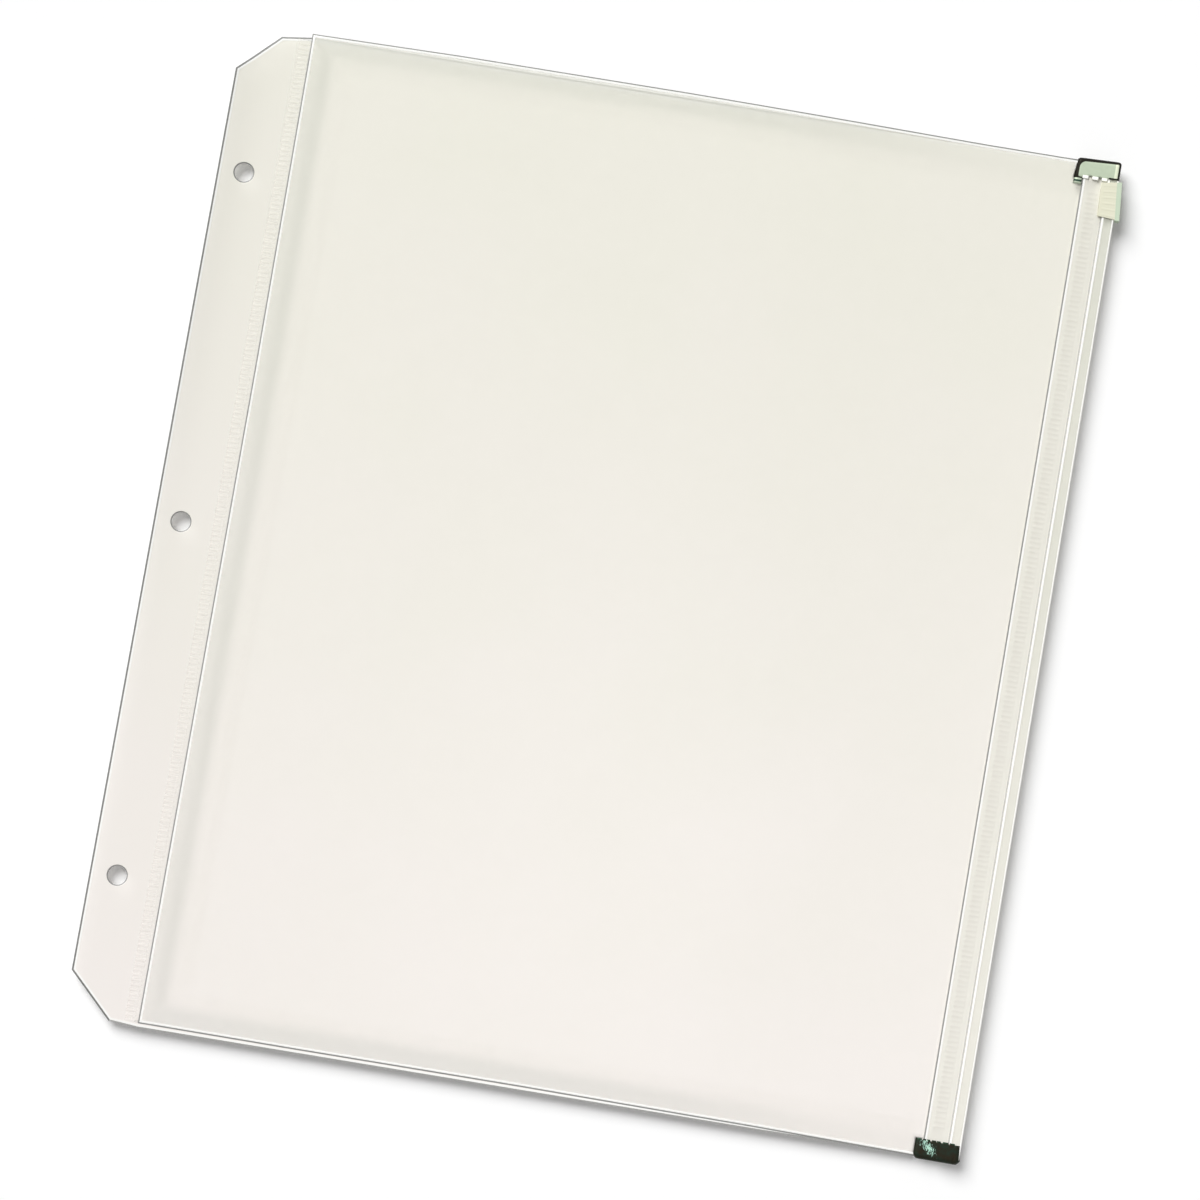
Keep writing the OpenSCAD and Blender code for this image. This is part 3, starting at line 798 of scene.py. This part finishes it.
# The corners on the outside come first, and the faces at an end are given by their corners
outer_corners = 6
slider_section = [
    (slider_low.x, slider_low.z), (wall_x, slider_low.z), (slider_high.x, slider_low.z),
    (slider_high.x, slider_high.z), (wall_x, slider_high.z), (slider_low.x, slider_high.z),
    (slider_low.x, hook_high), (hook_x, hook_high), (hook_x, jaw_high), (wall_x, jaw_high),
    (wall_x, jaw_low), (hook_x, jaw_low), (hook_x, hook_low), (slider_low.x, hook_low)]
jaw_faces = [(0, 1, 10, 11, 12, 13), (4, 5, 6, 7, 8, 9)]
wall_face = (1, 2, 3, 4, 9, 10)
corners, sides = len(slider_section), len(wall_face)
tip = 2 * corners
points = slider_row(slider_high.y, TOP_END, 0.0, range(corners))
points += slider_row(slider_low.y, JAW_END, JAW_TAPER, range(corners))
points += slider_row(slider_low.y, WALL_END, JAW_TAPER, wall_face)
faces = [(i, (i + 1) % corners, (i + 1) % corners + corners, i + corners) for i in range(corners)]
faces += [*jaw_faces, wall_face, *(tuple(i + corners for i in face) for face in jaw_faces)]
faces += [(wall_face[i] + corners, wall_face[(i + 1) % sides] + corners, tip + (i + 1) % sides, tip + i)
          for i in range(sides)]
faces.append(tuple(range(tip, tip + sides)))
wall_corners = {1, 2, 3, 4}


def moulded_plastic(name, face_hex, mottle_hex):
    """Moulded polypropylene: waxy, softly shining, with a fine texture from the mould. Its grain is
    drawn as coarse as it needs to show."""
    cloud_mm, grain_mm, grain_depth_mm, gloss_range = 3.0, 0.5, 0.02, (0.36, 0.5)
    material, tree = new_material(name)
    place = add_node(tree, "TexCoord").outputs["Object"]
    cloud = add_node(tree, "TexNoise", {"Vector": place, "Scale": 1.0 / (cloud_mm * MM), "Detail": 2.0})
    colour = add_node(tree, "MixRGB", {
        "Fac": cloud, "Color1": linear(face_hex), "Color2": linear(mottle_hex)})
    grain = add_node(tree, "TexNoise", {"Vector": place, "Scale": 1.0 / (grain_mm * MM), "Detail": 2.0})
    gloss = add_node(tree, "MapRange", {"Value": grain, "To Min": gloss_range[0], "To Max": gloss_range[1]})
    bump = add_node(tree, "Bump", {"Height": grain, "Strength": 0.3, "Distance": grain_depth_mm * MM})
    surface = add_node(tree, "BsdfPrincipled", {
        "Base Color": colour, "Roughness": gloss, "IOR": 1.49, "Normal": bump})
    add_node(tree, "OutputMaterial", {"Surface": surface})
    return material


slider_face = moulded_plastic("polypropylene_face", "#EBE9D2", "#E6E6CE")
# The side wall is painted a darker, greener tone than the face of the jaws, as painted shade
slider_wall_painted_shade = moulded_plastic("polypropylene_wall_painted_shade", "#C8DAC0", "#D2DFC8")
on_wall = [all(v >= tip or v % corners in wall_corners for v in face) for face in faces]
slider = make_piece("slider_body", points, faces, [slider_face, slider_wall_painted_shade], [int(w) for w in on_wall])
ease = slider.modifiers.new("moulded_edges", "BEVEL")
ease.width = SLIDER_EASE * MM
ease.segments = EASE_STEPS
ease.limit_method = "ANGLE"
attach(slider, "slider")
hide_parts("slider")

grip_arcs = []
for i in range(GRIP_COUNT):
    along = (i + 0.5) / GRIP_COUNT
    rows = []
    for x in (hook_x, wall_x):
        across = (x - slider_low.x) / slider_size.x
        ends = (slider_low.y + between(JAW_END, across), slider_high.y + between(TOP_END, across))
        middle = between(ends, along)
        base_z = slider_high.z - JAW_TAPER * (1.0 - along) - GRIP_RISE / 2.0
        turns = [math.pi * k / GRIP_STEPS for k in range(GRIP_STEPS + 1)]
        rows.append([(x + slider_lean(x, middle), middle + GRIP_WIDTH / 2.0 * math.cos(a),
                      base_z + GRIP_RISE * math.sin(a)) for a in turns])
    grip_arcs.append(loft(rows))
points, faces, _ = joined(*grip_arcs)
grips = make_piece("slider_grip_ridges", points, faces, [slider_face])
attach(grips, "slider")

# End clips
# A strip of plated sheet steel folded over each end of the zipper and crimped, with its side edges
# rolled down and teeth along the open edge. They hold the films together and stop the slider.
SHEET_THICK = 0.3
FOLD_RADIUS = 1.3
ROLL_LEFT = 1.2
ROLL_RIGHT = 0.8
ROLL_SHARE = 0.8
CLIP_CELL = 0.4
ARC_STEPS = 6
PLATE_STEPS = 9
TOOTH_STEPS = 3
TOOTH_DROP = 0.1
TAB_REACH = 1.9
# Widths of the dark rim painted round the plate as a reflection, from its left end to its right along the
# fold
RIM_LEFT, RIM_RIGHT = 1.15, 0.6
RIM_FOLD = (1.3, 0.95)
RIM_FOOT = 0.35
RIM_ROUND = 1.7
GLINT_WIDTH = 1.0
# Where the teeth start and end, and the bent tab, from the left end of the clip
TOP_TEETH = ((2.45, 4.25), (5.35, 7.25), (8.2, 10.0))
TOP_TABS = ((0.3, 2.3),)
FOOT_TEETH = ((0.9, 1.9), (2.2, 3.2), (3.5, 4.4), (4.9, 6.2), (6.4, 7.6), (8.2, 9.9), (10.3, 11.8))
TOP_TOOTH, FOOT_TOOTH = 0.9, 0.35
# How far the rolled ends lean out of square, from the open edge to the fold: left end, then right
TOP_LEAN = ((-0.4, 0.45), (0.0, 0.0))
FOOT_LEAN = ((0.0, 0.0), (0.0, 0.7))
TOP_CORNER, FOOT_CORNER = 0.6, 1.2
# How far the fold lies beyond its box, at the left end and at the right
TOP_SKEW, FOOT_SKEW = (0.18, 0.65), (0.0, 0.0)
# The patch of painted highlights on the lower clip, drawn as bright streaks: its place from the clip's
# lower left corner, its half sizes and turn
HIGHLIGHT_PLACE = (4.2, 3.8)
HIGHLIGHT_REACH = (4.2, 2.1)
HIGHLIGHT_TURN = math.radians(-38.0)
# Finishes of a clip, by slot: its teeth, painted bright as highlights on the upper clip, the plate, the
# bends of a tab painted dark as a reflection, and the strip along the right rim painted bright as a
# highlight
TOOTH, PLATE, BENT_EDGE, GLINT = range(4)


def plated_steel(name, plate_hex, cloud_hex, rim_reflection_hex=None, highlights=None):
    """Plated sheet steel, pressed and crimped: a clouded satin mirror. Its rolled rim is painted dark as a
    reflection, and a patch of streaks is painted bright as highlights, thinning out from its middle."""
    cloud_mm, streak_mm, rim_blur_mm = 1.6, 0.42, 0.08
    cloud_range, gloss_range, metal_share = (0.35, 0.65), (0.38, 0.55), 0.8
    streak_stretch, streak_turn = (1.5, 0.6, 1.0), (0.0, 0.0, 0.2)
    highlight_end, highlight_lift, streak_range = 1.6, (0.18, -0.32), (0.52, 0.64)
    material, tree = new_material(name)
    place = add_node(tree, "TexCoord").outputs["Object"]
    cloud = add_node(tree, "TexNoise", {"Vector": place, "Scale": 1.0 / (cloud_mm * MM), "Detail": 3.0})
    amount = add_node(tree, "MapRange", {
        "Value": cloud, "From Min": cloud_range[0], "From Max": cloud_range[1]})
    colour = add_node(tree, "MixRGB", {
        "Fac": amount, "Color1": linear(plate_hex), "Color2": linear(cloud_hex)})
    # Painted highlights: bright streaks in a patch that thins out from its middle
    if highlights:
        highlight_hex, centre, turn, reach = highlights
        along = add_node(tree, "Mapping", {
            "Vector": place, "Scale": streak_stretch, "Rotation": streak_turn})
        streaks = add_node(tree, "TexNoise", {
            "Vector": along, "Scale": 1.0 / (streak_mm * MM), "Detail": 4.0, "Roughness": 0.65})
        patch = add_node(tree, "Mapping", {
            "Vector": place, "Location": centre, "Rotation": (0.0, 0.0, turn), "Scale": reach},
            vector_type="TEXTURE")
        away = add_node(tree, "VectorMath", {0: patch}, operation="LENGTH")
        near = add_node(tree, "MapRange", {
            "Value": away.outputs["Value"], "From Max": highlight_end,
            "To Min": highlight_lift[0], "To Max": highlight_lift[1]})
        streak_level = add_node(tree, "Math", {0: streaks, 1: near})
        mask = add_node(tree, "MapRange", {
            "Value": streak_level, "From Min": streak_range[0], "From Max": streak_range[1]})
        colour = add_node(tree, "MixRGB", {"Fac": mask, "Color1": colour, "Color2": linear(highlight_hex)})
    # Painted reflection: the rolled rim is painted dark by its depth in the rim
    if rim_reflection_hex:
        depth = add_node(tree, "Attribute", attribute_name="rim_depth_mm")
        rim = add_node(tree, "MapRange", {
            "Value": depth.outputs["Fac"], "From Min": -rim_blur_mm, "From Max": rim_blur_mm})
        colour = add_node(tree, "MixRGB", {"Fac": rim, "Color1": colour, "Color2": linear(rim_reflection_hex)})
    gloss = add_node(tree, "MapRange", {"Value": cloud, "To Min": gloss_range[0], "To Max": gloss_range[1]})
    surface = add_node(tree, "BsdfPrincipled", {
        "Base Color": colour, "Metallic": metal_share, "Roughness": gloss})
    add_node(tree, "OutputMaterial", {"Surface": surface})
    return material


def reflection_rim_depth(u, d, width, length, teeth, tooth_length):
    """How deep a point lies in the dark rim painted round the plate as a reflection, in millimetres; below
    0 it is on the plate.
    """
    left, right = u - RIM_LEFT, width - u - RIM_RIGHT
    fold = length - d - between(RIM_FOLD, u / width)
    inner = min(left, fold)
    if max(left, fold) < RIM_ROUND:
        inner = RIM_ROUND - math.hypot(RIM_ROUND - left, RIM_ROUND - fold)
    if u < teeth[0][0]:
        inner = min(inner, d - RIM_FOOT)
    elif u > teeth[-1][1]:
        inner = min(inner, d - tooth_length - RIM_FOOT)
    return -min(inner, right) if d >= 0.0 else -RIM_ROUND


def clip_sheet(low, high, outward, lean, corner, skew, teeth, tooth_length, tabs):
    """The folded sheet of one clip: a grid of points along the fold and across the clip, a slot for each
    face and the depth of each point in the dark rim that is painted as a reflection."""
    width, length = high.x - low.x, high.y - low.y
    mid_low, mid_high = low.z + SHEET_THICK / 2.0, high.z - SHEET_THICK / 2.0
    bend = FOLD_RADIUS - SHEET_THICK / 2.0
    straight = length - FOLD_RADIUS
    profile = [(straight * i / PLATE_STEPS, mid_low) for i in range(PLATE_STEPS)]
    for centre_z, start in ((mid_low + bend, -math.pi / 2.0), (mid_high - bend, 0.0)):
        profile += [(straight + bend * math.cos(start + math.pi / 2.0 * k / ARC_STEPS),
                     centre_z + bend * math.sin(start + math.pi / 2.0 * k / ARC_STEPS))
                    for k in range(ARC_STEPS + 1)]
    upper_row = PLATE_STEPS + ARC_STEPS + 1
    plate = straight - tooth_length
    profile += [(tooth_length + plate * (1.0 - i / PLATE_STEPS), mid_high)
                for i in range(1, PLATE_STEPS + 1)]
    tooth_row = len(profile) - 1
    profile += [(tooth_length * (1.0 - i / TOOTH_STEPS), mid_high - TOOTH_DROP * smooth(i / TOOTH_STEPS))
                for i in range(1, TOOTH_STEPS + 1)]
    tab_row = len(profile) - 1
    profile += [(-TAB_REACH * i / TOOTH_STEPS, mid_high - TOOTH_DROP) for i in range(1, TOOTH_STEPS + 1)]
    glint = (width - RIM_RIGHT - GLINT_WIDTH, width - RIM_RIGHT)
    stops = sorted({0.0, width, *(edge for span in (*teeth, *tabs, glint) for edge in span)})
    across = [0.0]
    for start, end in zip(stops, stops[1:]):
        cells = math.ceil((end - start) / CLIP_CELL)
        across += [start + (end - start) * k / cells for k in range(1, cells + 1)]
    points, rims = [], []
    for step, (d, z) in enumerate(profile):
        cut_in = max(0.0, d - (length - corner))
        for u in across:
            x = cut_in + u / width * (width - 2.0 * cut_in)
            past_left = max(0.0, 1.0 - u / ROLL_LEFT)
            past_right = max(0.0, 1.0 - (width - u) / ROLL_RIGHT)
            x += between(lean[0], d / length) * past_left + between(lean[1], d / length) * past_right
            roll = ROLL_LEFT * (1.0 - math.sqrt(1.0 - past_left ** 2))
            roll += ROLL_RIGHT * (1.0 - math.sqrt(1.0 - past_right ** 2))
            reach = d + between(skew, u / width) * max(0.0, d / length)
            y = low.y + reach if outward > 0 else high.y - reach
            points.append((low.x + x, y, z - (ROLL_SHARE * roll if step >= upper_row else 0.0)))
            rims.append(reflection_rim_depth(u, d, width, length, teeth, tooth_length))
    columns = len(across)
    faces, slots = [], []
    for step in range(len(profile) - 1):
        for column in range(columns - 1):
            middle = (across[column] + across[column + 1]) / 2.0
            in_tooth = any(start < middle < end for start, end in teeth)
            in_tab = any(start < middle < end for start, end in tabs)
            past_tab = step >= tab_row and not in_tab
            between_teeth = step >= tooth_row and not in_tooth and middle > teeth[0][0]
            if past_tab or between_teeth:
                continue
            first = step * columns + column
            faces.append((first, first + 1, first + columns + 1, first + columns))
            if step >= tab_row:
                slots.append(BENT_EDGE if step % 2 else PLATE)
            elif step >= tooth_row:
                slots.append(TOOTH if in_tooth else PLATE)
            else:
                slots.append(GLINT if glint[0] < middle < glint[1] else PLATE)
    used = sorted({v for face in faces for v in face})
    place = {v: i for i, v in enumerate(used)}
    return ([points[v] for v in used], [tuple(place[v] for v in face) for face in faces], slots,
            [rims[v] for v in used])


# The lower clip is painted dark all over as a reflection, with a patch of streaks painted bright as
# highlights
highlight_spot = (foot_clip_low.x + HIGHLIGHT_PLACE[0], foot_clip_low.y + HIGHLIGHT_PLACE[1], foot_clip_high.z)
lower_clip_highlights = ("#AFD8C6", [c * MM for c in highlight_spot], HIGHLIGHT_TURN, (*(r * MM for r in HIGHLIGHT_REACH), 1.0))
# On the upper clip the teeth and the strip along the right rim are painted bright as highlights, and the
# bends of a tab dark as a reflection
tooth_highlight = plated_steel("plated_steel_tooth_painted_highlight", "#FFFFFA", "#F6F7EE")
bright_plate = plated_steel("plated_steel", "#AEB9A4", "#A9B49F", rim_reflection_hex="#14120A")
glint_highlight = plated_steel("plated_steel_glint_painted_highlight", "#D6DAC2", "#CDD5BE", rim_reflection_hex="#14120A")
bend_dark_reflection = plated_steel("plated_steel_bent_edge_painted_reflection", "#1F2A22", "#2C4A3C")
dark_reflection_tooth = plated_steel("dark_reflection_steel_tooth", "#1D2219", "#22402F")
dark_reflection_plate = plated_steel("dark_reflection_steel", "#241E12", "#1F2A20", highlights=lower_clip_highlights)
for node, shape, finishes in (
        ("top_end_clip", (1, TOP_LEAN, TOP_CORNER, TOP_SKEW, TOP_TEETH, TOP_TOOTH, TOP_TABS),
         [tooth_highlight, bright_plate, bend_dark_reflection, glint_highlight]),
        ("bottom_end_clip", (-1, FOOT_LEAN, FOOT_CORNER, FOOT_SKEW, FOOT_TEETH, FOOT_TOOTH, ()),
         [dark_reflection_tooth, dark_reflection_plate, bend_dark_reflection, dark_reflection_plate])):
    points, faces, slots, rims = clip_sheet(*node_box(node), *shape)
    clip = make_piece(node.replace("end_clip", "crimped_clip"), points, faces, finishes, slots)
    clip.data.attributes.new("rim_depth_mm", "FLOAT", "POINT").data.foreach_set("value", rims)
    sheet = clip.modifiers.new("sheet_thickness", "SOLIDIFY")
    sheet.thickness = SHEET_THICK * MM
    sheet.offset = 0.0
    # The lower clip's own shadow would be too dark beside that of the film, so it casts none
    clip.visible_shadow = shape[0] > 0
    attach(clip, "pocket")
    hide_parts(node)

# Floor and light
# A white paper sweep, and a broad soft key light from the upper left of the picture, with a softbox
# above that leaves a faint sheen on the film. The paper lies a little lower than the pocket, which sets
# the width of the shadow.
FLOOR_SIZE = 8000.0
FLOOR_DROP = 3.0
KEY_DIRECTION = Vector((-0.64, 0.82, 1.0))
KEY_STRENGTH = 3.35
KEY_ANGLE = math.radians(40.0)
SOFTBOX_PLACE = Vector((0.176, -0.119, 1.8))
SOFTBOX_SIZE = 0.4
SOFTBOX_POWER = 1.2
WORLD_STRENGTH = 0.27
PAPER_GLOW = 0.05
FILM_CROSSINGS = 32


def seen_rays(tree):
    """1 for rays that show the background: straight to the camera, mirrored or through a clear piece."""
    rays = add_node(tree, "LightPath").outputs
    seen = rays["Is Camera Ray"]
    for other in ("Is Glossy Ray", "Is Transmission Ray"):
        seen = add_node(tree, "Math", {0: seen, 1: rays[other]}, operation="MAXIMUM")
    return seen


def add_light(name, kind, energy):
    """A lamp of the studio."""
    lamp = bpy.data.objects.new(name, bpy.data.lights.new(name, kind))
    lamp.data.energy = energy
    bpy.context.scene.collection.objects.link(lamp)
    return lamp


# Uncoated paper: an even, matt white that takes the shadow
paper, tree = new_material("white_paper")
sheet_white = add_node(tree, "BsdfDiffuse", {"Color": linear("#FBFBFB")})
glow_level = add_node(tree, "Math", {0: seen_rays(tree), 1: PAPER_GLOW}, operation="MULTIPLY")
glow = add_node(tree, "Emission", {"Strength": glow_level})
paper_sum = add_node(tree, "AddShader", {0: sheet_white, 1: glow})
add_node(tree, "OutputMaterial", {"Surface": paper_sum})
floor_corners = [(x * FLOOR_SIZE / 2.0, y * FLOOR_SIZE / 2.0, -FLOOR_DROP)
                 for x, y in ((-1, -1), (1, -1), (1, 1), (-1, 1))]
floor = make_piece("floor", floor_corners, [(0, 1, 2, 3)], [paper])

key = add_light("key_light", "SUN", KEY_STRENGTH)
key.data.angle = KEY_ANGLE
key.rotation_euler = KEY_DIRECTION.to_track_quat("Z", "Y").to_euler()
softbox = add_light("softbox", "AREA", SOFTBOX_POWER)
softbox.data.size = SOFTBOX_SIZE
softbox.location = SOFTBOX_PLACE

world = bpy.data.worlds.new("studio")
world.use_nodes = True
world_tree = world.node_tree
world_tree.nodes.clear()
level = add_node(world_tree, "MapRange", {
    "Value": seen_rays(world_tree), "To Min": WORLD_STRENGTH, "To Max": 1.0})
sky = add_node(world_tree, "Background", {"Strength": level})
add_node(world_tree, "OutputWorld", {"Surface": sky})
bpy.context.scene.world = world

# Up to a dozen film faces lie over each other, and light crosses them all
bpy.context.scene.cycles.transparent_max_bounces = FILM_CROSSINGS
bpy.context.scene.view_settings.view_transform = "Standard"
